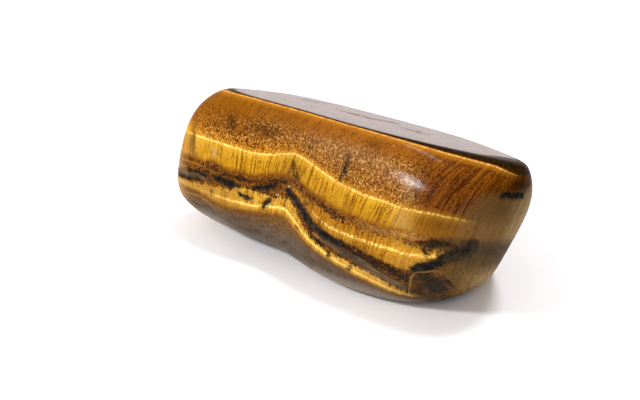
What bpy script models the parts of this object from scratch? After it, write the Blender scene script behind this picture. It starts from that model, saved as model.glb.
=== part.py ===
"""A polished tiger's eye stone: one tumbled block with a ground flat top and a small flat foot."""

import bmesh
import bpy
import numpy as np

# Lengths are in metres, angles in degrees. +X is the thick end, -Y the front, +Z up.
NAME = "tigers_eye_stone"

# Ground faces of the block: azimuth from +X, elevation, and distance from the block's centre.
BODY_FACES = {
    "front": (-91, 8, 0.0141),
    "front_left": (-115, 3, 0.0225),
    "front_right": (-70, -24, 0.0157),
    "front_low_left": (-103, -61, 0.0094),
    "front_low_right": (-94, -34, 0.0127),
    "left": (176, 11, 0.0170),
    "left_low": (172, -56, 0.0181),
    "left_high": (161, 65, 0.0165),
    "right": (-6, -29, 0.0216),
    "right_low": (-18, -58, 0.0212),
    "right_high": (3, 74, 0.0208),
    "back": (94, -7, 0.0107),
    "back_right": (58, 2, 0.0160),
    "back_left": (135, -2, 0.0159),
    "back_low": (90, -45, 0.0108),
    "underside": (0, -90, 0.0062),
}
BODY_SHARPNESS = 8.0  # a higher number leaves tighter rounding where two body faces meet

# Faces polished on after the tumbling, which keep a narrow edge.
POLISHED_FACES = {
    "top": (94, 68.5, 0.0107),
    "foot": (0, -90, 0.0055),
}
EDGE_SHARPNESS = 50.0

# A shallow furrow runs down the front. It leans with height and fades towards the top and the foot.
FURROW_X = -0.0005
FURROW_LEAN = 0.22
FURROW_HALF_WIDTH = 0.0058
FURROW_DEPTH = 0.105  # share of the distance from the centre to the surface
FURROW_FACING = 7  # elevation at which the furrow is deepest

# The skin is a loft of rings, each of them seen from the centre along directions of this spread.
SPREAD = np.array((0.022, 0.011, 0.010))
COLUMNS = 96
RIM_ROWS = 10
BODY_ROWS = 30
FOOT_ROWS = 8
EDGE_REACH = 0.09  # radians either side of the rim and the foot's edge that get the close rows
SOLVER_STEPS = 40
RING_SAMPLES = 720
CORNER_LENGTH = 0.004  # metres of ring that a turn of one radian counts as, to draw columns to the corners

SMOOTH_ANGLE = 30
STONE_COLOUR = (0.30, 0.135, 0.03, 1.0)
STONE_ROUGHNESS = 0.12


def facing(azimuth, elevation):
    """Unit vector that looks along an azimuth and an elevation."""
    azimuth, elevation = np.radians(azimuth), np.radians(elevation)
    return np.array((
        np.cos(elevation) * np.cos(azimuth),
        np.cos(elevation) * np.sin(azimuth),
        np.sin(elevation),
    ))


def blend(terms, sharpness):
    """The largest of the terms, rounded off where two of them are nearly equal."""
    largest = terms.max(axis=-1, keepdims=True)
    return largest[..., 0] * ((terms / largest) ** sharpness).sum(axis=-1) ** (1 / sharpness)


def reach(points, faces):
    """How far each point is out towards each face, as a share: 1 is on the face."""
    normals = np.array([facing(azimuth, elevation) for azimuth, elevation, _ in faces.values()])
    distances = np.array([distance for _, _, distance in faces.values()])
    return np.maximum(points @ normals.T / distances, 0.0) + 1e-9


def furrow_depth(points):
    """Share of the way in that the furrow takes the surface at these points."""
    across = (points[..., 0] - FURROW_X - FURROW_LEAN * points[..., 2]) / FURROW_HALF_WIDTH
    tilt = np.arctan2(points[..., 2], -points[..., 1]) - np.radians(FURROW_FACING)
    return FURROW_DEPTH * np.exp(-across ** 2) * np.maximum(np.cos(tilt), 0.0)


def body_reach(points):
    """Share of the way out to the tumbled body, before the polished faces."""
    share = blend(reach(points, BODY_FACES), BODY_SHARPNESS)
    return share * (1 + furrow_depth(points / share[..., None]))


def on_surface(directions):
    """Where each direction from the centre leaves the stone."""
    terms = np.concatenate((
        body_reach(directions)[..., None],
        reach(directions, POLISHED_FACES),
    ), axis=-1)
    return directions / blend(terms, EDGE_SHARPNESS)[..., None]


def spread_directions(heading, climb):
    """Directions for one climb angle at each heading."""
    return SPREAD * np.stack((
        np.cos(climb) * np.cos(heading),
        np.cos(climb) * np.sin(heading),
        np.sin(climb),
    ), axis=-1)


def solve_climb(is_above, low, high):
    """Bisect every heading's climb angle for the place where is_above turns true."""
    low = np.full(RING_SAMPLES, low)
    high = np.full(RING_SAMPLES, high)
    for _ in range(SOLVER_STEPS):
        middle = (low + high) / 2
        above = is_above(middle)
        high = np.where(above, middle, high)
        low = np.where(above, low, middle)
    return (low + high) / 2


def on_face(directions, face):
    """Where each direction from the centre meets the plane of a polished face."""
    azimuth, elevation, distance = POLISHED_FACES[face]
    return directions * (distance / (directions @ facing(azimuth, elevation)))[..., None]


def even_columns(ring):
    """Points shared out along a closed ring, closer together round its corners."""
    closed = np.concatenate((ring, ring[:1]))
    steps = np.diff(closed, axis=0)
    lengths = np.linalg.norm(steps, axis=1)
    bearings = steps / lengths[:, None]
    turns = np.linalg.norm(bearings - np.roll(bearings, 1, axis=0), axis=1)
    travelled = np.concatenate(([0.0], np.cumsum(lengths + CORNER_LENGTH * turns)))
    wanted = np.linspace(0, travelled[-1], COLUMNS, endpoint=False)
    return np.stack([np.interp(wanted, travelled, axis) for axis in closed.T], axis=1)


def stone_rings():
    """Rings of points from the edge of the flat top down to the edge of the foot."""
    heading = np.linspace(0, 2 * np.pi, RING_SAMPLES, endpoint=False)

    def past_rim(climb):
        directions = spread_directions(heading, climb)
        return reach(directions, POLISHED_FACES)[..., 0] > body_reach(directions)

    def above_foot(climb):
        directions = spread_directions(heading, climb)
        return reach(directions, POLISHED_FACES)[..., 1] < body_reach(directions)

    rim = solve_climb(past_rim, -0.9, np.pi / 2)
    foot = solve_climb(above_foot, -np.pi / 2, 0.0)
    near_rim = np.linspace(rim + EDGE_REACH, rim - EDGE_REACH, RIM_ROWS + 1)
    between = np.linspace(rim - EDGE_REACH, foot + EDGE_REACH, BODY_ROWS + 1)[1:]
    near_foot = np.linspace(foot + EDGE_REACH, foot - EDGE_REACH, FOOT_ROWS + 1)[1:]
    climbs = np.concatenate((near_rim, between, near_foot))
    rings = on_surface(spread_directions(heading, climbs))
    rings[0] = on_face(spread_directions(heading, climbs[0]), "top")
    rings[-1] = on_face(spread_directions(heading, climbs[-1]), "foot")
    return np.array([even_columns(ring) for ring in rings])


def stone_mesh():
    """The closed skin, standing on z = 0 with the middle of its bounding box on the Z axis."""
    rings = stone_rings()
    low, high = rings.min(axis=(0, 1)), rings.max(axis=(0, 1))
    rings = rings - np.array(((low[0] + high[0]) / 2, (low[1] + high[1]) / 2, low[2]))

    skin = bmesh.new()
    loops = [[skin.verts.new(point) for point in ring] for ring in rings]
    for upper, lower in zip(loops, loops[1:]):
        for column in range(COLUMNS):
            after = (column + 1) % COLUMNS
            skin.faces.new((upper[column], lower[column], lower[after], upper[after]))
    skin.faces.new(loops[0])
    skin.faces.new(reversed(loops[-1]))
    bmesh.ops.recalc_face_normals(skin, faces=skin.faces)
    mesh = bpy.data.meshes.new(NAME)
    skin.to_mesh(mesh)
    skin.free()
    mesh.shade_smooth()
    mesh.set_sharp_from_angle(angle=np.radians(SMOOTH_ANGLE))
    return mesh


def stone_material():
    """Plain golden brown polished stone."""
    material = bpy.data.materials.new(NAME)
    material.use_nodes = True
    shader = material.node_tree.nodes["Principled BSDF"]
    shader.inputs["Base Color"].default_value = STONE_COLOUR
    shader.inputs["Roughness"].default_value = STONE_ROUGHNESS
    material.diffuse_color = STONE_COLOUR
    return material


for leftover in list(bpy.data.objects):
    bpy.data.objects.remove(leftover)

parts = bpy.data.collections.new("polished_tigers_eye")
bpy.context.scene.collection.children.link(parts)
stone = bpy.data.objects.new(NAME, stone_mesh())
stone.data.materials.append(stone_material())
parts.objects.link(stone)
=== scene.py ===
"""The look of the polished tiger's eye stone: a finer skin over the solid, its bands, and a studio."""

from collections import namedtuple

import bpy
import numpy as np
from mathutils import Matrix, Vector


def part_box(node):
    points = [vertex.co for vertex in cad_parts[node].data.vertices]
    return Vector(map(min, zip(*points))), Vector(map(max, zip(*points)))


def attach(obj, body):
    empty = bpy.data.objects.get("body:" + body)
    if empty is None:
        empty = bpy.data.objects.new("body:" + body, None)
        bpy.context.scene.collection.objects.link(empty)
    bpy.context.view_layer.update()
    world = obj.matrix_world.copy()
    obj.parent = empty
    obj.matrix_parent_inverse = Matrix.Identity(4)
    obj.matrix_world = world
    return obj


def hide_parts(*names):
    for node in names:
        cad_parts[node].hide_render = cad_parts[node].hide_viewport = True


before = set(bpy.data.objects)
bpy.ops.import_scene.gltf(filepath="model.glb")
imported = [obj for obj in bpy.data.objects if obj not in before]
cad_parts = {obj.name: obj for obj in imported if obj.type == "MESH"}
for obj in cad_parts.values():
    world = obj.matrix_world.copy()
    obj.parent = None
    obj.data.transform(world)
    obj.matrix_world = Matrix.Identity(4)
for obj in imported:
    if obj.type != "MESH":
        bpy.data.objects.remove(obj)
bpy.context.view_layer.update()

# ---- the stone's form: the solid's, with closer rings and columns
# Lengths are in metres, angles in degrees. +X is the thick end, -Y the front, +Z up.

# Ground faces of the block: azimuth from +X, elevation, and distance from the block's centre.
BODY_FACES = {
    "front": (-91, 8, 0.0141),
    "front_left": (-115, 3, 0.0225),
    "front_right": (-70, -24, 0.0157),
    "front_low_left": (-103, -61, 0.0094),
    "front_low_right": (-94, -34, 0.0127),
    "left": (176, 11, 0.017),
    "left_low": (172, -56, 0.0181),
    "left_high": (161, 65, 0.0165),
    "right": (-6, -29, 0.0216),
    "right_low": (-18, -58, 0.0212),
    "right_high": (3, 74, 0.0208),
    "back": (94, -7, 0.0107),
    "back_right": (58, 2, 0.016),
    "back_left": (135, -2, 0.0159),
    "back_low": (90, -45, 0.0108),
    "underside": (0, -90, 0.0062),
}
BODY_SHARPNESS = 8  # a higher number leaves tighter rounding where two body faces meet
LEAST_REACH = 1e-9  # keeps the share towards a face above zero on the other side of the block

# Faces polished on after the tumbling, which keep a narrow edge.
POLISHED_FACES = {"top": (94, 68.5, 0.0107), "foot": (0, -90, 0.0055)}
EDGE_SHARPNESS = 50

# A shallow furrow runs down the front. It leans with height and fades towards the top and the foot.
FURROW_X = -0.0005
FURROW_LEAN = 0.22
FURROW_HALF_WIDTH = 0.0058
FURROW_DEPTH = 0.105  # share of the distance from the centre to the surface
FURROW_FACING = 7  # elevation at which the furrow is deepest

# The skin is a loft of rings, each of them seen from the centre along directions of this spread.
SPREAD = np.array((0.022, 0.011, 0.010))
COLUMNS = 432
RIM_ROWS = 24
BODY_ROWS = 130
FOOT_ROWS = 18
TOP_RINGS = 24
FOOT_RINGS = 12
EDGE_REACH = 0.09  # radians either side of the rim and the foot's edge that get the close rows
LOWEST_RIM = -0.9  # radians from level, below all of the rim
SOLVER_STEPS = 40
RING_SAMPLES = 1440
CORNER_LENGTH = 0.004  # metres of ring that a turn of one radian counts as, to draw columns to the corners
SMOOTH_ANGLE = 30


def facing(azimuth, elevation):
    """Unit vector that looks along an azimuth and an elevation."""
    azimuth, elevation = np.radians((azimuth, elevation))
    level = np.cos(elevation)
    return np.array((level * np.cos(azimuth), level * np.sin(azimuth), np.sin(elevation)))


def blend(terms, sharpness):
    """The largest of the terms, rounded off where two of them are nearly equal."""
    largest = terms.max(axis=-1, keepdims=True)
    return largest[..., 0] * ((terms / largest) ** sharpness).sum(axis=-1) ** (1 / sharpness)


def reach(points, faces):
    """How far each point is out towards each face, as a share: 1 is on the face."""
    normals = np.array([facing(*angles) for *angles, _ in faces.values()])
    distances = np.array([distance for *_, distance in faces.values()])
    return np.maximum(points @ normals.T / distances, 0) + LEAST_REACH


def furrow_depth(points):
    """Share of the way in that the furrow takes the surface at these points."""
    across = (points[..., 0] - FURROW_X - FURROW_LEAN * points[..., 2]) / FURROW_HALF_WIDTH
    tilt = np.arctan2(points[..., 2], -points[..., 1]) - np.radians(FURROW_FACING)
    return FURROW_DEPTH * np.exp(-across ** 2) * np.maximum(np.cos(tilt), 0)


def body_reach(points):
    """Share of the way out to the tumbled body, before the polished faces."""
    share = blend(reach(points, BODY_FACES), BODY_SHARPNESS)
    return share * (1 + furrow_depth(points / share[..., None]))


def on_surface(directions):
    """Where each direction from the centre leaves the stone."""
    terms = np.concatenate((body_reach(directions)[..., None], reach(directions, POLISHED_FACES)), axis=-1)
    return directions / blend(terms, EDGE_SHARPNESS)[..., None]


def spread_directions(heading, climb):
    """Directions for one climb angle at each heading."""
    level = np.cos(climb)
    return SPREAD * np.stack((level * np.cos(heading), level * np.sin(heading), np.sin(climb)), axis=-1)


def solve_climb(is_above, low, high):
    """Bisect every heading's climb angle for the place where is_above turns true."""
    low = np.full(RING_SAMPLES, low)
    high = np.full(RING_SAMPLES, high)
    for _ in range(SOLVER_STEPS):
        middle = (low + high) / 2
        above = is_above(middle)
        high = np.where(above, middle, high)
        low = np.where(above, low, middle)
    return (low + high) / 2


def on_face(directions, face):
    """Where each direction from the centre meets the plane of a polished face."""
    *angles, distance = POLISHED_FACES[face]
    return directions * (distance / (directions @ facing(*angles)))[..., None]


def even_columns(ring):
    """Points shared out along a closed ring, closer together round its corners."""
    closed = np.concatenate((ring, ring[:1]))
    steps = np.diff(closed, axis=0)
    lengths = np.linalg.norm(steps, axis=1)
    bearings = steps / lengths[:, None]
    turns = np.linalg.norm(bearings - np.roll(bearings, 1, axis=0), axis=1)
    travelled = np.concatenate(([0.0], np.cumsum(lengths + CORNER_LENGTH * turns)))
    wanted = np.linspace(0, travelled[-1], COLUMNS, endpoint=False)
    return np.stack([np.interp(wanted, travelled, axis) for axis in closed.T], axis=1)


def stone_rings():
    """Rings of points from the edge of the flat top down to the edge of the foot."""
    heading = np.linspace(0, 2 * np.pi, RING_SAMPLES, endpoint=False)

    def past_rim(climb):
        directions = spread_directions(heading, climb)
        return reach(directions, POLISHED_FACES)[..., 0] > body_reach(directions)

    def above_foot(climb):
        directions = spread_directions(heading, climb)
        return reach(directions, POLISHED_FACES)[..., 1] < body_reach(directions)

    rim = solve_climb(past_rim, LOWEST_RIM, np.pi / 2)
    foot = solve_climb(above_foot, -np.pi / 2, 0.0)
    near_rim = np.linspace(rim + EDGE_REACH, rim - EDGE_REACH, RIM_ROWS + 1)
    between = np.linspace(rim - EDGE_REACH, foot + EDGE_REACH, BODY_ROWS + 1)[1:]
    near_foot = np.linspace(foot + EDGE_REACH, foot - EDGE_REACH, FOOT_ROWS + 1)[1:]
    climbs = np.concatenate((near_rim, between, near_foot))
    directions = spread_directions(heading, climbs)
    rings = on_surface(directions)
    rings[0] = on_face(directions[0], "top")
    rings[-1] = on_face(directions[-1], "foot")
    return np.array([even_columns(ring) for ring in rings])


def shrunk(ring, shares):
    """Smaller copies of a ring round its middle."""
    middle = ring.mean(axis=0)
    return [middle + (ring - middle) * share for share in shares]


def capped(rings):
    """The rings, with the top and the foot filled by smaller ones."""
    top = shrunk(rings[0], np.linspace(0, 1, TOP_RINGS + 1)[1:-1])
    foot = shrunk(rings[-1], np.linspace(1, 0, FOOT_RINGS + 1)[1:-1])
    return np.concatenate((top, rings, foot))


def skin_points():
    """The skin's rings in the part's frame, and where the block's centre is there."""
    rings = capped(stone_rings())
    low, high = rings.min(axis=(0, 1)), rings.max(axis=(0, 1))
    solid_low, solid_high = np.array(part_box("tigers_eye_stone"))
    scale = (solid_high - solid_low) / (high - low)
    centre = solid_low - low * scale
    return rings * scale + centre, centre


def skin_mesh(name, rings):
    """One closed mesh through the rings, and its points: the rings' own, then the two caps' middles."""
    count = len(rings)
    middles = [ring.mean(axis=0) for ring in (rings[0], rings[-1])]
    points = np.concatenate((rings.reshape(-1, 3), middles))
    column = np.arange(COLUMNS)
    after = np.roll(column, -1)
    faces = []
    for row in range(count - 1):
        upper, lower = row * COLUMNS, (row + 1) * COLUMNS
        faces += np.stack((upper + column, lower + column, lower + after, upper + after), axis=1).tolist()
    top, bottom, last = count * COLUMNS, count * COLUMNS + 1, (count - 1) * COLUMNS
    faces += np.stack((np.full(COLUMNS, top), column, after), axis=1).tolist()
    faces += np.stack((np.full(COLUMNS, bottom), last + after, last + column), axis=1).tolist()
    mesh = bpy.data.meshes.new(name)
    mesh.from_pydata(points.tolist(), [], faces)
    mesh.shade_smooth()
    mesh.set_sharp_from_angle(angle=np.radians(SMOOTH_ANGLE))
    return mesh, points


def add_object(name, data):
    """A new object in the scene."""
    thing = bpy.data.objects.new(name, data)
    bpy.context.scene.collection.objects.link(thing)
    return thing


rings, centre = skin_points()
mesh, points = skin_mesh("banded_stone", rings)
stone = add_object("banded_stone", mesh)
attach(stone, "root")
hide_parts("tigers_eye_stone")

# ---- the bands, in millimetres
# A band's edge is a curve of depth below the flat top against x, drawn along the front. What else is drawn
# on the stone is placed by how far round it is from x = 0 on the front, and by that depth.
MM = 0.001
CURVE_STEP = 0.05
CURVE_REACH = 40  # curves are worked out this far either side of x = 0
CURVE_SOFTNESS = 0.35
CURVE_WINDOW = 60  # steps either side of a point that soften it
CURVES = {
    "upper_line": ((-24, 6.4), (-8, 6.4), (-5.4, 6), (-2.9, 5.2), (-1.6, 5.05), (0.7, 5.5), (4.7, 6.5),
                   (8.4, 7), (14, 7.15), (18, 6.75), (23, 6.5)),
    "brown_top": ((-24, 9.3), (-15, 9.1), (-13.7, 8.7), (-12, 9.2), (-8, 9), (-5.5, 8.3), (-3, 7.7),
                  (-1, 7.9), (1, 8.6), (4, 9.2), (7, 9.7), (10, 9.9), (15, 9.6), (17, 9.3), (20, 8.6),
                  (23, 8.4)),
    "middle_top": ((-3, 9.2), (-1, 9.2), (0, 9.5), (2, 10), (5, 10.7), (8, 11), (18, 10.9)),
    "middle_line": ((-3, 9), (-1.3, 9.3), (0.5, 10), (2.1, 11.2), (4, 11.8), (6.3, 12.1), (14, 12.2),
                    (16, 11.8), (19, 11)),
    "middle_foot": ((-3, 9.1), (-1, 9.7), (1, 11.2), (2, 11.9), (4, 12.8), (6, 13.2), (8, 13.5), (10, 13.8),
                    (13.5, 14.2), (14.4, 13.8), (16, 12.5), (18, 11)),
    "lower_top": ((-24, 12.6), (-19, 12.3), (-14, 11.9), (-11, 11.6), (-9.9, 10.9), (-8, 10.8),
                  (-5, 11), (-3.8, 10.5), (-2.4, 10.5), (-1.2, 11.4), (0, 12.9), (1.6, 14.2), (4, 15),
                  (6, 15.3), (8, 15.7), (10, 16.2), (12, 17.1)),
    "lower_line": ((-24, 12.9), (-11, 12.9), (-8, 12.7), (-6, 12.2), (-3.2, 11.7), (-1.6, 12.5),
                   (1, 14.3), (4, 15.4), (8, 16.5), (12, 17.5)),
    "lower_foot": ((-24, 13), (-17, 13.1), (-15, 13.5), (-13, 13.9), (-11, 13.8), (-8, 13.4), (-4, 12.6),
                   (-2.5, 12.9), (-1, 13.9), (1, 15), (4, 15.9), (8, 17), (11, 17.7), (12.5, 17.6), (14, 17)),
}
# Behind this y the curves run askew, and the layers drift more and more until they are this far in.
FRONT_Y = -8
FOLD_SKEW = 0.45
DRIFT_REACH = 10
# Waves: height, radians to the millimetre along each of two coordinates, and start.
DRIFT_WAVES = ((1, 0.31, 0.22, 1), (0.6, 0.62, -0.35, 0))
SIDEWAYS_WAVES = ((1, 2.3, 4.1, 0), (0.6, 7.7, -5.2, 2))
DOWNWARD_WAVES = ((1, 3.3, -1.9, 1), (0.6, 5.3, 6.9, 0))
WARP_LENGTH = 0.05  # how far the waves push what is drawn sideways and down

# Depth against the place round the stone: the golden line of painted sheen under the rim and the painted
# shade on the edge above it.
EDGES = {
    "rim_line": ((-58, 0.5), (-17, 0.4), (-9, 0.2), (8, 0.22), (12, 0.32), (16, 0.45), (20, 0.6),
                 (22.5, 0.7), (24, 0.95), (25.5, 1.2), (58, 0.5)),
    "rim_shade": ((-58, 0.3), (-17, 0.2), (-10, 0.12), (6, 0.13), (12, 0.22), (18, 0.4), (22, 0.55),
                  (24, 0.75), (26, 1.1), (30, 1), (58, 0.3)),
}

# Strengths that change round the stone: how the golden bands gleam with painted sheen, how bright the painted
# sheen lines are under the brown layer, in the lower band and under the rim, and how matt the polish is.
STRENGTHS = {
    "gleam": ((-58, 0.8), (-24, 0.6), (-19, 0.6), (-17, 0.95), (-5, 1), (-2.2, 0.75), (0, 0.95), (13, 0.9),
              (14.5, 0.55), (15.8, 0.25), (17, 0), (22, 0), (36, 0), (44, 0.8)),
    "sparkle": ((-58, 0.4), (-24, 0.3), (-18.3, 0.4), (-17.9, 0.1), (-17.5, 0.1), (-17.1, 1), (-6, 0.9),
                (-3, 0.6), (1, 0.8), (5, 0.9), (13, 0.7), (17, 0.45), (20, 0.3), (22, 0), (40, 0), (46, 0.4)),
    "lower_glow": ((-58, 0.3), (-24, 0.1), (-15, 0.15), (-11, 0.7), (-7, 1), (1, 0.9), (9, 0.8), (12, 0.5),
                   (58, 0.3)),
    "rim_glow": ((-24, 0), (-19, 0.3), (-16, 0.8), (-9, 0.7), (-2, 0.65), (6, 0.5), (12, 0.7), (17, 1),
                 (23, 1), (25, 0.3), (26.5, 0)),
    "matt": ((-30, 0.35), (-22, 0.85), (-18, 0.7), (-15, 0.35), (-3, 0.3), (15, 0.25), (20, 0.45),
             (24, 0.75), (29, 0.75), (34, 0.35)),
}
# The right end's paler glass, its own colour with painted reflection over it, starts past this place at each
# depth, and stops short of the back.
VEIL_EDGE = ((0, 40), (2.6, 27), (3.3, 23.2), (4, 21.8), (6, 20.6), (8.5, 19.8), (18, 18))
VEIL_STOP = 34
VEIL_SOFTNESS = 2

# Places up to this far from x = 0 are true lengths. Past it each ring's are stretched to match the longest.
STEADY_REACH = 20
SHORTEST_BACK = 1  # the least length that is stretched
# Fibres run down the stone and lean by this much for each millimetre of depth, against the place round it.
# They lean from one depth on, and more above the shoulder.
FIBRE_LEAN = ((-58, -0.3), (-40, -0.2), (-24, 0.12), (-9, 0.1), (-3, 0.4), (5, 0.3), (10, 0.45), (16, 0.42),
              (24, 0.4), (34, 0.35), (42, -0.1), (58, -0.3))
LEAN_FROM = 7
SHOULDER_DEPTH = 2.3
SHOULDER_LEAN = ((-58, 0), (-20, 0.1), (-8, 0.3), (0, 0.6), (9, 0.6), (14, 0.2), (58, 0))

# Lenses and cracks, as points of place, depth and half width: black ones first.
INKS = (
    ((-18.5, 10.95, 0.08), (-16.6, 10.75, 0.15), (-15, 10.85, 0.15), (-14.6, 11, 0.05)),
    ((-21.5, 12.2, 0.1), (-18.5, 12, 0.1), (-16, 11.6, 0.05)),
    ((-14, 10.7, 0.15), (-12.8, 10.75, 0.35), (-11.4, 10.9, 0.4), (-10.1, 10.8, 0.25)),
    ((-10, 11.8, 0.15), (-9.2, 11.95, 0.24), (-8.4, 11.95, 0.1)),
    ((-6.7, 12.5, 0.16), (-6, 11.6, 0.2), (-5.4, 11.2, 0.12)),
    ((-8.1, 10.6, 0.1), (-7, 10.3, 0.22), (-5.8, 9.8, 0.22), (-4.6, 9.4, 0.1)),
    ((-2.9, 9.5, 0.16), (-1.6, 10.2, 0.26), (-0.2, 11, 0.36), (0.9, 11.9, 0.3), (2.2, 12.5, 0.28),
     (3.6, 12.9, 0.26), (5.2, 13.3, 0.2), (6.8, 13.6, 0.05)),
    ((1.6, 13.7, 0.05), (2.4, 14, 0.15), (3.4, 14.3, 0.05)),
    ((14.4, 13.8, 0.12), (15.3, 13.4, 0.4), (16.4, 12.9, 0.48), (17.2, 12.5, 0.3), (17.6, 12.1, 0.1)),
    ((17.6, 11.7, 0.1), (18.4, 11.1, 0.16), (19.4, 10.5, 0.12), (20.4, 10.25, 0.2), (21, 9.95, 0.2),
     (21.1, 9.2, 0.16)),
    ((17.6, 14.3, 0.04), (18.1, 14.8, 0.14), (18.3, 15.3, 0.1)),
    ((16, 10.9, 0.12), (16.2, 11.4, 0.14)),
    ((16.9, 10.5, 0.15), (17.5, 9.9, 0.15)),
    ((24.2, 3.3, 0.12), (25.3, 3.2, 0.26), (27.6, 3.1, 0.22)),
    ((5.4, 6.2, 0.08), (5.8, 5.1, 0.13), (6.1, 4.1, 0.1), (6.4, 3.2, 0.03)),
)
# Dark brown grains gathered in bands and clots.
SOOTS = (
    ((-14.6, 9.6, 0.02), (-12, 9.9, 0.05), (-9, 9.9, 0.1), (-7, 9.6, 0.1), (-5, 8.9, 0.15), (-3.2, 8.6, 0.2)),
    ((-2.8, 9.4, 0.2), (-0.4, 10.6, 0.3), (1, 12.2, 0.4), (1.6, 13.2, 0.3)),
    ((1.6, 12.3, 0.1), (4, 13.3, 0.5), (6, 13.8, 0.75), (8, 14.1, 0.75), (10, 14.4, 0.55),
     (12.2, 14.6, 0.25)),
    ((15.6, 10.5, 0.15), (16.8, 10.2, 0.35), (18.2, 9.8, 0.25), (19.4, 9.8, 0.1)),
    ((0.6, 9, 0.02), (2.4, 9.6, 0.05), (4.5, 10.1, 0.08), (6.5, 10.4, 0.02)),
    ((-3.1, 10.7, 0.1), (-3.2, 11.3, 0.06)),
    ((-14.3, 12.4, 0.04), (-14.3, 12.8, 0.12)),
    ((-0.95, 13.3, 0.1), (-0.9, 13.4, 0.12)),
    ((0.4, 10.1, 0.12), (0.7, 10.2, 0.1)),
    ((4, 15.1, 0.14), (3.8, 15.5, 0.1)),
    ((6.6, 16, 0.16), (6.3, 16.2, 0.14)),
    ((-2.4, 5.9, 0.03), (-1.9, 7.4, 0.12), (-1.5, 7.7, 0.03)),
    ((-1.9, 6.1, 0.03), (-1.2, 7.6, 0.08)),
)
# Grey silky bands and cracks.
SILKS = (
    ((-22, 11.65, 0.4), (-19, 11.5, 0.42), (-16.8, 11.3, 0.35), (-15.2, 11.1, 0.08)),
    ((-1.6, 10.4, 0.06), (-0.1, 11.35, 0.14), (1.2, 12.3, 0.14), (2.6, 12.8, 0.12), (3.6, 13, 0.06)),
    ((2.5, 13.3, 0.1), (5.4, 14.1, 0.35), (8, 14.9, 0.5), (10, 15.5, 0.55), (12.6, 16.4, 0.4)),
    ((5.7, 5.9, 0.04), (6.1, 4.8, 0.06), (6.4, 3.7, 0.03)),
    ((17.35, 13.1, 0.03), (17.6, 13.6, 0.04), (17.6, 14.2, 0.03)),
    ((24.4, 3.1, 0.06), (26, 2.95, 0.1), (27.4, 2.9, 0.06)),
)
# Thin pale seams.
SEAMS = (
    ((-19.5, 14, 0.02), (-16.5, 13.7, 0.05), (-15.2, 14.1, 0.05), (-14, 14.9, 0.02)),
    ((-21, 10, 0.05), (-17, 9.8, 0.06), (-15.5, 9.9, 0.02)),
    ((-21, 10.8, 0.05), (-19, 10.6, 0.04)),
    ((14.5, 14.4, 0.01), (14.9, 14.1, 0.02), (15.9, 13.8, 0.03), (16.8, 13.4, 0.03), (17.3, 13.4, 0.02),
     (17.5, 13.8, 0.01)),
    ((1.8, 13.25, 0.08), (2.6, 13.6, 0.12)),
    ((14.5, 14.3, 0.03), (14, 15, 0.08), (13.6, 16, 0.08), (13.1, 17.2, 0.03)),
    ((7.7, 13.6, 0.06), (7.85, 13.6, 0.06)),
    ((9, 15, 0.01), (11, 15.7, 0.02), (12.6, 16.2, 0.01)),
)
# Small white specks, painted glints.
GLINTS = (
    ((-5.2, 2.6, 0.06), (-5, 2.6, 0.06)),
    ((-2.75, 9, 0.04), (-2.55, 8.9, 0.04)),
    ((-4.7, 10.5, 0.02), (-4.3, 10.35, 0.04)),
    ((11.25, 1, 0.03), (11.35, 1, 0.03)),
    ((15, 9.6, 0.02), (15.3, 9.5, 0.01)),
)
# Smears on the flat top: x, y, half length, half width, strength.
SMEARS = (
    (-3.4, 2.6, 2.6, 1.1, 1),
    (-0.6, 4.8, 1.3, 1.2, 0.8),
    (5.4, 2, 1.6, 1.5, 0.8),
    (-12.5, 5, 1.6, 2.5, 0.4),
)
# The flat top's right corner, which is darker with painted shade: the same.
SHADED_CORNERS = ((21.8, -4, 4.2, 9, 1),)
# Dark glass with soft edges: place, depth, half width.
LENSES = (
    ((16.6, 12.8, 0.3), (18.3, 11.6, 0.6), (19.8, 10.6, 0.75), (21, 9.9, 0.8), (21.6, 9.3, 0.75)),
    ((15, 14.3, 0.25), (16, 14.7, 0.8), (16.6, 15.4, 1.1)),
    ((11.6, 14.8, 0.25), (13.2, 15.2, 0.6)),
)
# Soft patches: place, depth, half length, half height, strength. Dark ones, murky ones, tan ones,
# pale patches of painted sheen and calm ones without streaks.
SHADES = (
    (-11.5, 3.7, 0.8, 1.4, 0.55),
    (-6.4, 3.4, 2.2, 0.7, 0.5),
    (0.2, 3.3, 0.6, 0.9, 0.25),
    (8.8, 1.4, 1, 0.4, 0.4),
    (-18.1, 6.9, 0.8, 2.4, 0.6),
    (-17.2, 8.2, 0.2, 0.9, 0.3),
    (-2, 7.2, 2, 1.2, 0.3),
    (6, 4.6, 0.4, 1.6, 0.45),
    (27, 0.8, 3, 0.9, 0.85),
    (26.6, 2.3, 2.6, 0.7, 0.7),
    (24, 2.9, 1, 0.6, 0.45),
    (15.6, 10.9, 1.7, 0.6, 0.5),
    (16.6, 11.6, 0.6, 0.6, 0.4),
    (26.8, 2.1, 2.6, 1.2, 0.85),
    (-20.5, 2, 3, 1.8, 0.25),
)
MURKS = (
    (15.6, 15.4, 2.4, 2, 1),
    (14.8, 17, 3, 1.2, 0.9),
    (13.2, 15.4, 1.4, 1, 0.4),
    (20.4, 11.2, 2.4, 0.9, 0.6),
    (24.5, 9.9, 4.5, 1.3, 0.75),
)
TANS = (
    (10.5, 10.2, 3, 0.8, 0.45),
    (13.7, 9.6, 2.2, 1.3, 1),
)
# Pale patches of painted sheen.
PAINTED_SHEENS = (
    (6.5, 3, 6, 1.2, 0.5),
    (14.2, 5, 0.9, 1.3, 0.8),
    (13.7, 8.6, 1.2, 2.2, 0.35),
    (-14, 7.7, 0.5, 0.8, 0.5),
)
CALMS = (
    (-15, 2.2, 7, 2, 0.7),
    (-20, 6, 2, 6, 0.5),
    (-5, 1, 5, 1, 0.4),
    (24.5, 6, 4, 6, 0.7),
)
FAR_OFF = 9.0  # the distance given where no lens is nearer
# The black lenses are sunk to this depth, from nothing at their edge to all of it this far inside.
GROOVE_DEPTH = 0.07
GROOVE_SLOPE = 0.2

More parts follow.
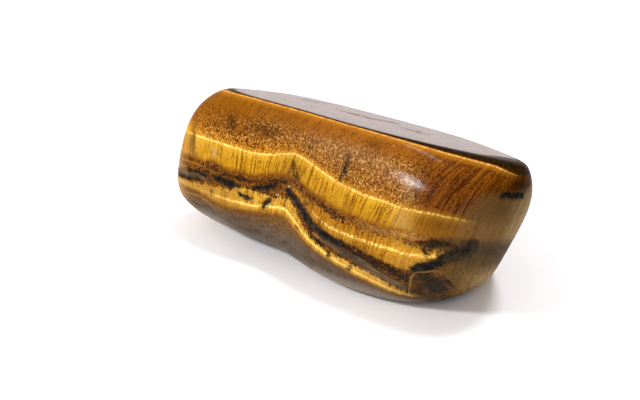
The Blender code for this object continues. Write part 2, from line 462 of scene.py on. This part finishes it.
# The skin's fields that they make: lenses with uneven edges, lenses with even ones, and patches.
UNEVEN_LENSES = {"ink": INKS, "soot": SOOTS, "silk": SILKS, "lens": LENSES}
EVEN_LENSES = {"seam": SEAMS, "glint": GLINTS}
SIDE_PATCHES = {"shade": SHADES, "murk": MURKS, "tan": TANS, "painted_sheen": PAINTED_SHEENS, "calm": CALMS}
TOP_PATCHES = {"smear": SMEARS, "corner": SHADED_CORNERS}


def follow(knots, x):
    """Straight lines through the knots."""
    return np.interp(x, *zip(*knots))


def drawn_curve(knots, x):
    """Depth of a curve through the knots, with its corners softened."""
    grid = np.arange(-CURVE_REACH, CURVE_REACH, CURVE_STEP)
    offsets = np.arange(-CURVE_WINDOW, CURVE_WINDOW + 1) * CURVE_STEP
    weights = np.exp(-(offsets / CURVE_SOFTNESS) ** 2 / 2)
    padded = np.pad(follow(knots, grid), CURVE_WINDOW, mode="edge")
    return np.interp(x, grid, np.convolve(padded, weights / weights.sum(), mode="valid"))


def summed(waves, first, second):
    """Height of the waves at two coordinates."""
    return sum(height * np.sin(along_first * first + along_second * second + start)
               for height, along_first, along_second, start in waves)


def drift(xyz):
    """How far the layers wander away from the front, so that the other sides have folds of their own."""
    inwards = np.maximum(xyz[:, 1] - FRONT_Y, 0)
    return np.minimum(inwards / DRIFT_REACH, 1) * summed(DRIFT_WAVES, xyz[:, 0], xyz[:, 1])


def warped(spots):
    """The spots, pushed about a little so that what is drawn there isn't smooth."""
    pushes = [summed(waves, *spots.T) for waves in (SIDEWAYS_WAVES, DOWNWARD_WAVES)]
    return spots + WARP_LENGTH * np.stack(pushes, axis=1)


def nearest(spots, lenses):
    """Distance to the edge of the nearest lens, negative inside it."""
    found = np.full(len(spots), FAR_OFF)
    for lens in lenses:
        for (*start, start_width), (*end, end_width) in zip(lens, lens[1:]):
            start, run = np.array(start), np.subtract(end, start)
            share = np.clip((spots - start) @ run / (run @ run), 0, 1)
            gap = np.linalg.norm(spots - start - share[:, None] * run, axis=1)
            found = np.minimum(found, gap - start_width - share * (end_width - start_width))
    return found


def strongest(spots, patches):
    """Strength of the soft patches."""
    found = np.zeros(len(spots))
    for place, depth, length, height, strength in patches:
        span = ((spots[:, 0] - place) / length) ** 2 + ((spots[:, 1] - depth) / height) ** 2
        found = np.maximum(found, strength * np.exp(-span))
    return found


def places_round(rings):
    """How far round its ring each point is from x = 0 on the front."""
    closed = np.concatenate((rings, rings[:, :1]), axis=1)
    steps = np.linalg.norm(np.diff(closed, axis=1), axis=2)
    travelled = np.cumsum(steps, axis=1) - steps
    lengths = steps.sum(axis=1)
    places = []
    for ring, run, length in zip(rings, travelled, lengths):
        front = np.flatnonzero(ring[:, 1] < ring[:, 1].mean())
        front = front[np.argsort(ring[front, 0])]
        place = (run - np.interp(0, ring[front, 0], run[front]) + length / 2) % length - length / 2
        past = np.maximum(abs(place) - STEADY_REACH, 0)
        stretch = (lengths.max() / 2 - STEADY_REACH) / max(length / 2 - STEADY_REACH, SHORTEST_BACK)
        places.append(np.sign(place) * (np.minimum(abs(place), STEADY_REACH) + past * stretch))
    return np.array(places)


def fibre_places(rings, places, depth):
    """Coordinates that stay the same down a fibre: where it starts round the longest ring, and the depth."""
    longest = np.linalg.norm(np.diff(rings, axis=1), axis=2).sum(axis=1).argmax()
    order = np.argsort(places[longest])
    above = np.minimum(depth - SHOULDER_DEPTH, 0)
    leaned = places + follow(FIBRE_LEAN, places) * (depth - LEAN_FROM) + follow(SHOULDER_LEAN, places) * above
    half = abs(places[longest]).max()
    leaned = (leaned + half) % (2 * half) - half
    x, y = (np.interp(leaned, places[longest][order], rings[longest][order, axis]) for axis in (0, 1))
    return np.stack((x, y, depth), axis=-1)


def carve(mesh, points, depths):
    """Sink the skin's points by these depths."""
    normals = np.zeros(points.size, np.float32)
    mesh.vertices.foreach_get("normal", normals)
    sunk = points - normals.reshape(-1, 3) * depths[:, None]
    mesh.vertices.foreach_set("co", sunk.astype(np.float32).ravel())


def depth_below_top(points, centre):
    """How far the points are below the plane of the flat top, in millimetres."""
    *angles, distance = POLISHED_FACES["top"]
    return distance / MM - (points - centre) @ facing(*angles) / MM


def veil(place, depth):
    """1 inside the right end's paler glass and its painted reflection, 0 outside it."""
    past_edge = np.minimum(place - follow(VEIL_EDGE, depth), VEIL_STOP - place)
    return np.clip(past_edge / VEIL_SOFTNESS / 2 + 0.5, 0, 1)


def skin_fields(xyz, place, depth):
    """Numbers for each point: depths past the curves and edges, distances to the lenses, and strengths."""
    along = xyz[:, 0] + FOLD_SKEW * np.maximum(xyz[:, 1] - FRONT_Y, 0)
    layer = depth + drift(xyz)
    spots = np.stack((place, depth), axis=1)
    uneven = warped(spots)
    fields = {"depth": depth, "place": place, "veil": veil(place, depth)}
    fields |= {name: layer - drawn_curve(knots, along) for name, knots in CURVES.items()}
    fields |= {name: depth - follow(knots, place) for name, knots in EDGES.items()}
    fields |= {name: follow(knots, place) for name, knots in STRENGTHS.items()}
    fields |= {name: nearest(uneven, lenses) for name, lenses in UNEVEN_LENSES.items()}
    fields |= {name: nearest(spots, lenses) for name, lenses in EVEN_LENSES.items()}
    fields |= {name: strongest(spots, patches) for name, patches in SIDE_PATCHES.items()}
    fields |= {name: strongest(xyz[:, :2], patches) for name, patches in TOP_PATCHES.items()}
    return fields


def store(mesh, name, values):
    """Store a number or a vector for each of the skin's points."""
    kind, slot = ("FLOAT", "value") if values.ndim == 1 else ("FLOAT_VECTOR", "vector")
    attribute = mesh.attributes.new(name, kind, "POINT")
    attribute.data.foreach_set(slot, values.astype(np.float32).ravel())


def add_fields(mesh, rings, points, centre):
    """Store on the skin what the material needs to place bands and fibres, and sink the black lenses."""
    xyz = points / MM
    ring_places = places_round(rings / MM)
    place = np.concatenate((ring_places.ravel(), (0, 0)))  # the last two points are the caps' middles
    fields = skin_fields(xyz, place, depth_below_top(points, centre))
    carve(mesh, points, np.clip(-fields["ink"] / GROOVE_SLOPE, 0, 1) * GROOVE_DEPTH * MM)
    fibres = fibre_places(rings / MM, ring_places, depth_below_top(rings, centre)).reshape(-1, 3)
    fields["fibre"] = np.concatenate((fibres, xyz[-2:] * (1, 1, 0)))
    fields["bedding"] = np.stack((xyz[:, 0], xyz[:, 1], fields["lower_line"]), axis=1)
    for name, values in fields.items():
        store(mesh, name, values)


add_fields(mesh, rings, points, centre)


# ---- the stone's finish
# The material is a recipe in tables.
# A limit is a value's name, or its name with where it counts as 0 and where as 1, smooth between them.
# A colour is a hex code, or a limit with the colours at its 0 and at its 1.
# A wash is a strength, a colour and the limits that hold it back.
# The values are the fields stored above and what the first tables name. Lengths are in millimetres.

# Noises: the coordinates they follow, waves to the millimetre along each, detail and roughness.
NOISES = {
    "broad": ("fibre", (1.1, 1.1, 0.08), 2, 0.5),
    "clots": ("bedding", (1.3, 1.3, 1.7), 4, 0.65),
    "tips": ("fibre", (1.8, 1.8, 0.05), 4, 0.75),
    "sheets": ("bedding", (0.35, 0.35, 2.6), 4, 0.65),
    "scuffs": ("bedding", (1.1, 1.1, 1), 4, 0.7),
    "figure": ("bedding", (0.16, 0.55, 0.1), 5, 0.6),
}
# Hairs and grains: coordinates, waves of a soft noise, waves of even cells, and the cells' share.
GRAININGS = {
    "hairs": ("fibre", (4.8, 4.8, 0.3), (6.5, 6.5, 0.4), 0.5),
    "grain": ("bedding", (4.8, 4.8, 4.8), (7, 7, 7), 0.55),
}
SOFT_NOISE = (1, 0.5)  # detail and roughness
MIDDLE = 0.5  # what a noise is on average
# Mixtures, with each part's share.
MIXTURES = {
    "threads": {"broad": 0.12, "hairs": 0.5, "grain": 0.38},
    "mingled": {"grain": 0.75, "hairs": 0.15, "clots": 0.1},
    "rusting": {"grain": 0.5, "clots": 0.5},
    "footing": {"sheets": 0.5, "grain": 0.5},
    "greying": {"sheets": 0.3, "clots": 0.7},
    "beading": {"hairs": 0.6, "grain": 0.4},
    "roughening": {"grain": 0.4, "clots": 1},
}
# How far the fibres' tips make each curve ragged, and how much of that the grains add.
RAGGED = {
    "upper_line": 0.3, "brown_top": 1.2, "middle_top": 2.2, "middle_line": 0.5, "middle_foot": 1.2,
    "lower_top": 1.4, "lower_line": 0.4, "lower_foot": 0.8, "rim_line": 0.1,
}
RAGGED_GRAIN = 0.5
# How far the inclusions' edges wander with the grains and clots, and each one's share of it.
WANDER = 0.35
WANDERING = {"lens": 1, "soot": 1, "silk": 1, "ink": 1, "seam": 0.4, "glint": 0.6}
# Zones, as products of limits, and where the left side begins in front and behind.
ZONES = {
    "shoulder": (("depth", 3, 1.6),),
    "right": (("place", 12.5, 17), ("place", 54, 36)),
    # Painted glow at the left end.
    "left_glow_paint": (("place", -14.5, -20), ("place", -34, -22), ("depth", 0.5, 5)),
    "wedge": (("place", -2.5, -1.5), ("middle_top", -0.1, 0.1), ("middle_foot", 0.1, -0.1),
              ("place", 19, 18)),
    "lower": (("lower_top", -0.08, 0.08), ("lower_foot", 0.35, -0.35)),
    "lit": ("lower", "lower_glow"),
    "beads": (("beading", 0.42, 0.56),),
    # Painted shade along the rim's edge.
    "painted_edge_shade": (("rim_shade", 0.03, -0.03),),
    "flat": (("depth", 0.06, 0.02),),
}
LEFT = (("place", 1, -8), ("place", 36, 54))
# Values drawn towards another one: how far, from what, and to what.
EASED = {
    "streaks": ("calm", ("threads", 0.34, 0.6), 0.6),
    "specks": ("calm", ("mingled", 0.38, 0.64), 0.4),
    "soft_streaks": (0.3, "streaks", 0.6),
    "mostly_left": (0.35, "left", 1),
    "broken": (0.6, ("mingled", 0.7, 0.5), 1),
}
# Values that are 1 less another one.
OPPOSITES = {
    "lively": "calm",
    "faded": "gleam",
    # Where the golden bands lose their painted gleam.
    "before_right": "right",
    "below_shoulder": "shoulder",
    "off_flat": "flat",
}
# Beads again, with how much of them is left and what is added.
RAISED_BEADS = {"close_beads": (0.8, 0.2), "lower_beads": (0.6, 0.4), "rim_beads": (0.6, 0.3)}
# What dulls and darkens the flat top, with the painted shade in its right corner: strengths and limits.
SCUFFED = (0.22, ("scuffs", 0.4, 0.66))
SMEARED = (0.7, "smear", ("scuffs", 0.35, 0.55))
CORNER_SHADE = (0.85, ("corner", 0.3, 0.6))

# Each layer of colour covers those before it. It has the strength and limits of where it shows, its own
# colour, and the washes over that.
Layer = namedtuple("Layer", "where colour washes", defaults=({},))
LAYERS = {
    "upper brown layer": Layer(
        where=(1,),
        colour=("shoulder",
                ("specks", ("left", "5a2e08", "4c2400"), ("left", "94601e", "8e5408")),
                ("soft_streaks", ("left", "562800", "522800"), ("left", "905614", "8a540c"))),
        washes={
            "coarse streaks to the right": (
                1,
                (("threads", 0.38, 0.7), ("shoulder", "381400", "461e00"), ("shoulder", "744008", "844c0c")),
                "right"),
            # Painted sheen over the brown layer.
            "painted_sheen": (1, "8c6c48", "painted_sheen", ("specks", -0.4, 0.8)),
            "golden grains above the line": (
                0.75, "bc7c10",
                ("upper_line", -2.4, -0.1), ("specks", 0, 0.9), "before_right", "mostly_left"),
            # Painted sheen beside the bright line.
            "glow on the line's upper side": (0.45, "d08c14", ("upper_line", -0.9, -0.1), "sparkle"),
            "light grains": (0.5, "dca858", ("grain", 0.6, 0.7), "lively", "before_right", "below_shoulder"),
            "dark grains": (0.25, "2a1000", ("grain", 0.4, 0.3), "lively"),
            # Painted glow at the left end.
            "painted glow at the left end": (0.8, (("upper_line", -2, -0.2), "8c5008", "c88c20"), "left_glow_paint"),
        },
    ),
    "golden band": Layer(
        where=(1, ("upper_line", -0.06, 0.06)),
        # Brighter towards the left end with painted glow.
        colour=("streaks", ("left_glow_paint", "744402", "9c6c28"), ("left_glow_paint", "bc8a14", "d4a040")),
        washes={
            "dark hairs": (0.5, "5c3000", ("hairs", 0.4, 0.3), "lively"),
            # Painted sheen under the bright line.
            "light under the line": (0.5, "d8a838", ("upper_line", 1.4, 0), ("streaks", 0.2, 0.8)),
            # Painted shade where the band doesn't gleam.
            "darker where the painted gleam fades": (0.85, "5a2e02", "faded"),
            "broad brown stripes": (0.2, "865a0a", ("broad", 0.5, 0.64)),
            "browner foot": (0.4, "8c5a14", ("brown_top", -1.5, -0.2), ("place", -1, 4)),
            # Painted sheen over the golden band.
            "painted_sheen": (0.7, "b89868", "painted_sheen"),
        },
    ),
    "brown zone's edge": Layer(where=(1, ("brown_top", -0.5, 0.15)), colour=("specks", "5a2c00", "8c5a10")),
    "brown zone": Layer(
        where=(1, ("brown_top", -0.05, 0.35)),
        colour=(("rusting", 0.4, 0.6), "260d00", "7e4c0c"),
        washes={
            "sheets": (0.5, "5a3408", ("sheets", 0.5, 0.65)),
            "tan patches": (1, "b07c3a", "tan", ("specks", -0.5, 0.7)),
        },
    ),
    "middle golden wedge": Layer(
        where=(1, "wedge"),
        colour=("streaks", "623400", "aa7216"),
        washes={
            # Painted sheen above the bright line.
            "light above the line": (0.4, "c08c24", ("middle_line", -0.7, 0), ("streaks", 0.1, 0.8)),
            "dark below the line": (0.8, "5c3002", ("middle_line", 0.2, 1.6), ("place", 12, 8)),
            "lighter right part": (0.3, "e0a83c", ("place", 11, 14)),
            "darker left part": (0.3, "6a3c04", ("place", 6, 1)),
        },
    ),
    "foot": Layer(
        where=(1, ("lower_foot", -0.35, 0.6)),
        colour=(("footing", 0.36, 0.64), "3e280e", "78542a"),
        washes={
            "grey stone": (0.85, (("greying", 0.3, 0.7), "3c3026", "5c5044"), ("depth", 13.4, 15.6)),
            # Painted reflection of the floor along the underside.
            "painted floor reflection underneath": (0.5, "a89c8c", ("depth", 17.2, 18.8)),
            "pale left": (0.5, "b0a498", ("place", -11, -17), ("place", -34, -22), ("depth", 15, 17)),
            "brown under the band": (0.5, "704410", ("lower_foot", 1.2, 0)),
        },
    ),
    "lower golden band": Layer(
        where=(1, "lower"),
        colour=("streaks", "7c4c08", "c69632"),
        washes={
            "duller left end": (0.6, "8c6428", ("place", -9, -15), ("place", -40, -24)),
            "dark below the line": (0.5, "7c4804", ("lower_line", 0.1, 0.9), ("place", 4, -1)),
            "lighter right part": (0.2, "e0b060", ("place", 2, 6), ("place", 30, 16)),
        },
    ),
    # Its own dark colour, with an olive grey of painted reflection.
    "olive right end with painted reflection": Layer(
        where=(1, ("place", 16.6, 18.6), ("place", 36, 31), ("brown_top", -0.3, 0.5)),
        colour=("streaks", "302008", "5c4218"),
        washes={
            "paler foot": (
                1,
                ("streaks", (("place", 18, 25), "543c16", "8c7040"), (("place", 18, 25), "7c5c2a", "bca06c")),
                ("depth", 11.5, 15.5)),
            "brown clots": (0.6, "5a3408", ("clots", 0.55, 0.65)),
        },
    ),
    # Paler and greyer: painted reflection over the glass's own colour.
    "right end's glass with painted reflection": Layer(
        where=(0.95, ("veil", 0, 1), ("depth", 9.9, 7.9)),
        colour=("streaks", (("depth", 4, 8), "3e2a10", "523a16"), (("depth", 4, 8), "604626", "765830")),
        washes={"pale streaks": (0.5, ("streaks", "74582c", "b09868"), ("place", 25, 29))},
    ),
}
# Over all of the layers.
SHADING = {
    "murky patches": (1, (("clots", 0.3, 0.7), "1e140c", "42321e"), "murk", ("specks", -1.6, 0.5)),
    "pale left end": (0.35, "dcb47c", ("place", -18, -22), ("place", -30, -22), ("depth", 8, 10)),
    "dark patches": (1, "1a0c02", "shade"),
}
# Bright lines of painted sheen where the fibres turn, by colour: the strength of each, its curve, how far it
# reaches above and below that, and its limits. They are broad glows, their cores, and the same two under the
# rim.
SHEEN_LINES = {
    "d49c20": (
        (0.4, "upper_line", 0.4, 0.9, "sparkle"),
        (0.4, "middle_line", 0.45, 0.5, "wedge", ("place", 0, 10)),
        (0.5, "middle_line", 1.2, 1, "wedge", ("place", 8, 12), "beads"),
        (0.6, "lower_line", 0.4, 0.5, "lit"),
    ),
    "fcdc80": (
        (1, "upper_line", 0.16, 0.2, "sparkle", "close_beads"),
        (1, "middle_line", 0.2, 0.26, "wedge", ("place", -1, 8), "beads"),
        (1, "lower_line", 0.14, 0.26, "lit", "lower_beads"),
    ),
    "b87820": ((0.55, "rim_line", 0.1, 0.7, "rim_glow"),),
    "eeb050": ((1, "rim_line", 0.08, 0.14, "rim_glow", "rim_beads"),),
}
# Over the bright lines.
INCLUSIONS = {
    "dark glass": (0.85, (("mingled", 0.35, 0.65), "140e06", "302614"), ("lens", 0.25, -0.2)),
    "brown grains": (0.92, "1c0c02", ("soot", 0.35, -0.1), "broken"),
    "grey silk": (0.8, (("sheets", 0.4, 0.7), "3c3020", "746650"), ("silk", 0.2, -0.15)),
    "black lenses' brown rim": (0.6, "1e1006", ("ink", 0.45, 0)),
    "black lenses": (0.95, (("clots", 0.46, 0.66), "080604", "2c281e"), ("ink", 0.14, -0.06)),
    "pale seams": (0.45, "a87c40", ("seam", 0.1, -0.02)),
    # Painted glints.
    "painted white glints": (0.8, "f0e4d4", ("glint", 0.08, -0.04)),
}
TOP_LAYERS = {
    # Painted shade along the rim's edge.
    "painted shade on the rim's edge": Layer(where=(1, "painted_edge_shade"), colour=(("grain", 0.4, 0.8), "160c02", "422808")),
    "flat top": Layer(
        where=(1, "flat"),
        colour=(("figure", 0.3, 0.7), "3a2216", "744c30"),
        washes={
            "pale grains": (0.25, "8c6438", ("grain", 0.45, 0.65)),
            "scuffs, smears and painted corner shade": (1, "2c1a0c", "wear_and_corner_shade"),
        },
    ),
}

# The polish is a clear coat, weaker where the stone is matt, on the flat top's scuffs and smears and under
# its painted corner shade, on a colour with no shine of its own.
POLISH = 0.62
# How matt the polish is under the painted shade on the rim's edge.
SHADED_EDGE_MATT = 0.8
STONE_SHADER = {"Roughness": 0.4, "Specular IOR Level": 0, "Coat Roughness": 0.12, "Coat IOR": 1.2}
RELIEF = {"Strength": 0.55, "Distance": 0.04 * MM}
MIX_FIRST, MIX_SECOND, MIX_RESULT = 6, 7, 2  # the colour sockets of a mix node


def tone(code):
    """Linear colour from a hex code."""
    channels = (int(code[start:start + 2], 16) / 255 for start in (0, 2, 4))
    return tuple(c / 12.92 if c <= 0.04045 else ((c + 0.055) / 1.055) ** 2.4 for c in channels)


def set_inputs(node, settings):
    """Set a node's own sockets to constants."""
    for name, value in settings.items():
        node.inputs[name].default_value = value


class Nodes:
    """Short calls to build a node tree, and to read the recipe's tables."""

    def __init__(self, tree):
        self.tree = tree
        self.values = {}

    def add(self, kind, **settings):
        """A new node."""
        node = self.tree.nodes.new(kind)
        for name, value in settings.items():
            setattr(node, name, value)
        return node

    def put(self, socket, value):
        """Link a socket to another one, or set it to a constant."""
        if isinstance(value, bpy.types.NodeSocket):
            self.tree.links.new(value, socket)
        elif socket.type == "RGBA":
            socket.default_value = (*value, 1)
        else:
            socket.default_value = value

    def field(self, name, output="Fac"):
        """What the skin's points store under this name."""
        return self.add("ShaderNodeAttribute", attribute_name=name).outputs[output]

    def math(self, operation, first, *others):
        """One kind of sum, with each of the values in turn."""
        for other in others:
            node = self.add("ShaderNodeMath", operation=operation)
            self.put(node.inputs[0], first)
            self.put(node.inputs[1], other)
            first = node.outputs[0]
        return first

    def times(self, *values):
        """All of the values multiplied."""
        return self.math("MULTIPLY", *values)

    def plus(self, *values):
        """All of the values added."""
        return self.math("ADD", *values)

    def without(self, value):
        """1 less the value."""
        return self.math("SUBTRACT", 1, value)

    def eased(self, share, value, other):
        """The value, drawn towards another one by a share."""
        return self.plus(self.times(self.without(share), value), self.times(share, other))

    def texture(self, kind, output, vector, scale, **settings):
        """A texture with this many waves along each coordinate."""
        stretched = self.add("ShaderNodeVectorMath", operation="MULTIPLY")
        self.put(stretched.inputs[0], vector)
        self.put(stretched.inputs[1], scale)
        node = self.add(kind)
        self.put(node.inputs["Vector"], stretched.outputs[0])
        set_inputs(node, {"Scale": 1, **settings})
        return node.outputs[output]

    def noise(self, vector, scale, detail, roughness):
        """Cloudy noise."""
        return self.texture("ShaderNodeTexNoise", "Fac", vector, scale, Detail=detail, Roughness=roughness)

    def cells(self, vector, scale):
        """Cells of one brightness each."""
        return self.texture("ShaderNodeTexVoronoi", "Color", vector, scale)

    def step(self, value, start, end):
        """0 before start, 1 after end, smooth between."""
        node = self.add("ShaderNodeMapRange", interpolation_type="SMOOTHSTEP")
        self.put(node.inputs["Value"], value)
        set_inputs(node, {"From Min": start, "From Max": end})
        return node.outputs[0]

    def mix(self, share, first, second):
        """A colour between two others. The node holds the share between 0 and 1."""
        node = self.add("ShaderNodeMix", data_type="RGBA")
        self.put(node.inputs["Factor"], share)
        self.put(node.inputs[MIX_FIRST], first)
        self.put(node.inputs[MIX_SECOND], second)
        return node.outputs[MIX_RESULT]

    def named(self, name):
        """The value that a table names: one worked out before, or a field."""
        if name not in self.values:
            self.values[name] = self.field(name)
        return self.values[name]

    def limit(self, limit):
        """A limit of the recipe: a number, a value's name, or its name with where it is 0 and 1."""
        if isinstance(limit, str):
            return self.named(limit)
        if isinstance(limit, tuple):
            name, start, end = limit
            return self.step(self.named(name), start, end)
        return limit

    def product(self, limits):
        """All of the limits multiplied."""
        return self.times(*(self.limit(limit) for limit in limits))

    def share(self, strength, *limits):
        """A strength, held back by its limits."""
        return self.product((*limits, strength))

    def line(self, strength, curve, above, below, *limits):
        """A line along a curve, which falls to nothing at that far above and below it."""
        return self.share(strength, (curve, -above, 0), (curve, below, 0), *limits)

    def paint(self, colour):
        """A colour of the recipe."""
        if isinstance(colour, str):
            return tone(colour)
        limit, first, second = colour
        return self.mix(self.limit(limit), self.paint(first), self.paint(second))

    def washed(self, colour, washes):
        """The colour with the washes laid over it in turn."""
        for strength, paint, *limits in washes.values():
            colour = self.mix(self.share(strength, *limits), colour, self.paint(paint))
        return colour

    def covered(self, colour, layer):
        """The colour with a layer laid over it where that shows."""
        return self.mix(self.share(*layer.where), colour, self.washed(self.paint(layer.colour), layer.washes))


def add_textures(nodes):
    """Work out the noises, and the curves and inclusions with their edges made uneven."""
    vectors = {name: nodes.field(name, "Vector") for name in ("fibre", "bedding")}
    for name, (vector, *settings) in NOISES.items():
        nodes.values[name] = nodes.noise(vectors[vector], *settings)
    for name, (vector, scale, cell_scale, cell_share) in GRAININGS.items():
        soft = nodes.noise(vectors[vector], scale, *SOFT_NOISE)
        nodes.values[name] = nodes.eased(cell_share, soft, nodes.cells(vectors[vector], cell_scale))
    for name, parts in MIXTURES.items():
        nodes.values[name] = nodes.plus(*(nodes.share(share, part) for part, share in parts.items()))
    noises = [nodes.named(name) for name in ("tips", "grain", "clots")]
    tips, grain, clots = (nodes.math("SUBTRACT", noise, MIDDLE) for noise in noises)
    jag = nodes.plus(tips, nodes.times(grain, RAGGED_GRAIN))
    for name, length in RAGGED.items():
        nodes.values[name] = nodes.plus(nodes.field(name), nodes.times(jag, length))
    wander = nodes.times(nodes.plus(grain, clots), WANDER)
    for name, share in WANDERING.items():
        nodes.values[name] = nodes.plus(nodes.field(name), nodes.times(wander, share))


def add_zones(nodes):
    """Work out where things are, and the values that depend on that."""
    for name, limits in ZONES.items():
        nodes.values[name] = nodes.product(limits)
    nodes.values["left"] = nodes.math("MAXIMUM", *(nodes.limit(limit) for limit in LEFT))
    for name, (share, value, other) in EASED.items():
        nodes.values[name] = nodes.eased(nodes.limit(share), nodes.limit(value), other)
    for name, other in OPPOSITES.items():
        nodes.values[name] = nodes.without(nodes.named(other))
    for name, (share, added) in RAISED_BEADS.items():
        nodes.values[name] = nodes.plus(nodes.share(share, "beads"), added)
    worn = nodes.plus(nodes.share(*SCUFFED), nodes.share(*SMEARED))
    worn = nodes.math("MAXIMUM", worn, nodes.share(*CORNER_SHADE))
    nodes.values["wear_and_corner_shade"] = nodes.times(nodes.named("flat"), worn)


def stone_colour(nodes):
    """The stone's colour: its layers, what shades them, the bright lines of painted sheen, the inclusions,
    the rim's painted edge shade and the flat top.
    """
    first, *others = LAYERS.values()
    colour = nodes.washed(nodes.paint(first.colour), first.washes)
    for layer in others:
        colour = nodes.covered(colour, layer)
    colour = nodes.washed(colour, SHADING)
    for code, lines in SHEEN_LINES.items():
        colour = nodes.mix(nodes.plus(*(nodes.line(*line) for line in lines)), colour, tone(code))
    colour = nodes.washed(colour, INCLUSIONS)
    for layer in TOP_LAYERS.values():
        colour = nodes.covered(colour, layer)
    return colour


def stone_material():
    """Polished tiger's eye."""
    material = bpy.data.materials.new("tigers_eye")
    material.use_nodes = True
    shader = material.node_tree.nodes["Principled BSDF"]
    nodes = Nodes(material.node_tree)
    add_textures(nodes)
    add_zones(nodes)
    nodes.put(shader.inputs["Base Color"], stone_colour(nodes))
    relief = nodes.add("ShaderNodeBump")
    set_inputs(relief, RELIEF)
    nodes.put(relief.inputs["Height"], nodes.product(("roughening", "off_flat")))
    nodes.put(shader.inputs["Normal"], relief.outputs["Normal"])
    nodes.put(shader.inputs["Coat Normal"], relief.outputs["Normal"])
    matt = nodes.math("MAXIMUM", nodes.named("matt"), nodes.share(SHADED_EDGE_MATT, "painted_edge_shade"))
    matt = nodes.times(matt, nodes.named("off_flat"))
    clean = nodes.without(nodes.named("wear_and_corner_shade"))
    nodes.put(shader.inputs["Coat Weight"], nodes.times(clean, nodes.without(matt), POLISH))
    set_inputs(shader, STONE_SHADER)
    return material


mesh.materials.append(stone_material())

# ---- camera, where the photo was taken from
CAMERA_AZIMUTH = 39.7  # round from the front towards the right end
CAMERA_ELEVATION = 26.2
CAMERA_DISTANCE = 0.144
CAMERA_SHIFT = (-0.00208, -0.00044)  # right and up, from straight in front of the stone's centre
CAMERA_LENS = 64.8
CAMERA_CLIP = (0.01, 10)


def add_camera():
    """The scene's camera, at the photo's distance and viewing angle."""
    back = facing(CAMERA_AZIMUTH - 90, CAMERA_ELEVATION)
    right = facing(CAMERA_AZIMUTH, 0)
    up = np.cross(back, right)
    data = bpy.data.cameras.new("camera")
    data.lens = CAMERA_LENS
    data.clip_start, data.clip_end = CAMERA_CLIP
    camera = add_object("camera", data)
    camera.location = centre + back * CAMERA_DISTANCE + right * CAMERA_SHIFT[0] + up * CAMERA_SHIFT[1]
    camera.rotation_euler = np.radians((90 - CAMERA_ELEVATION, 0, CAMERA_AZIMUTH))
    bpy.context.scene.camera = camera


add_camera()

# ---- studio
FLOOR_HALF = 1.5
FLOOR_DROP = 0.03 * MM  # keeps the floor clear of the stone's foot
FLOOR_SHADER = {"Base Color": (0.86, 0.845, 0.86, 1), "Roughness": 0.9, "Specular IOR Level": 0}
# Lamps: azimuth, elevation and distance from the stone, width, height and watts. Some light the stone but
# don't show in its polish, and the others only show there.
LIGHTING_LAMPS = {
    "key": (-125, 34, 0.5, 0.07, 0.07, 1.8),
    "side": (20, 76, 0.6, 0.12, 0.12, 2.1),
}
SHINING_LAMPS = {
    "strip": (-108, -2, 0.5, 0.05, 0.2, 5.2),
    "overhead": (-135, 79, 0.5, 0.12, 0.12, 0.9),
}
LAMP_TARGET = (0, 0, 0.01)
# The room is brightest towards this azimuth and elevation, and dims away from it: cosines of the angles where
# it is dimmest and where it is brightest.
ROOM_BRIGHT_SIDE = (-100, 60)
ROOM_FADE = (-0.2, 0.95)
ROOM_BRIGHT = (1.02, 1, 0.98)
ROOM_DIM = (0.27, 0.255, 0.28)


def add_floor():
    """A wide floor of pale paper."""
    floor_mesh = bpy.data.meshes.new("floor")
    corners = [(x * FLOOR_HALF, y * FLOOR_HALF, 0) for x, y in ((-1, -1), (1, -1), (1, 1), (-1, 1))]
    floor_mesh.from_pydata(corners, [], [(0, 1, 2, 3)])
    floor = add_object("floor", floor_mesh)
    floor.location.z = -FLOOR_DROP
    paper = bpy.data.materials.new("floor")
    paper.use_nodes = True
    set_inputs(paper.node_tree.nodes["Principled BSDF"], FLOOR_SHADER)
    floor_mesh.materials.append(paper)


def add_lamp(name, azimuth, elevation, distance, width, height, watts):
    """A soft oval lamp that faces the stone."""
    light = bpy.data.lights.new(name, "AREA")
    light.shape = "ELLIPSE"
    light.size, light.size_y = width, height
    light.energy = watts
    lamp = add_object(name, light)
    lamp.location = LAMP_TARGET + facing(azimuth, elevation) * distance
    lamp.rotation_euler = np.radians((90 - elevation, 0, azimuth + 90))
    return lamp


def add_world():
    """A room that is bright in front of the stone and dimmer behind it."""
    world = bpy.data.worlds.new("studio")
    world.use_nodes = True
    nodes = Nodes(world.node_tree)
    towards = nodes.add("ShaderNodeVectorMath", operation="DOT_PRODUCT")
    nodes.put(towards.inputs[0], nodes.add("ShaderNodeTexCoord").outputs["Generated"])
    nodes.put(towards.inputs[1], facing(*ROOM_BRIGHT_SIDE))
    light = nodes.mix(nodes.step(towards.outputs["Value"], *ROOM_FADE), ROOM_DIM, ROOM_BRIGHT)
    nodes.put(world.node_tree.nodes["Background"].inputs["Color"], light)
    bpy.context.scene.world = world


add_floor()
for name, lamp in LIGHTING_LAMPS.items():
    add_lamp(name, *lamp).visible_glossy = False
for name, lamp in SHINING_LAMPS.items():
    add_lamp(name, *lamp).visible_diffuse = False
add_world()
bpy.context.scene.view_settings.view_transform = "Standard"
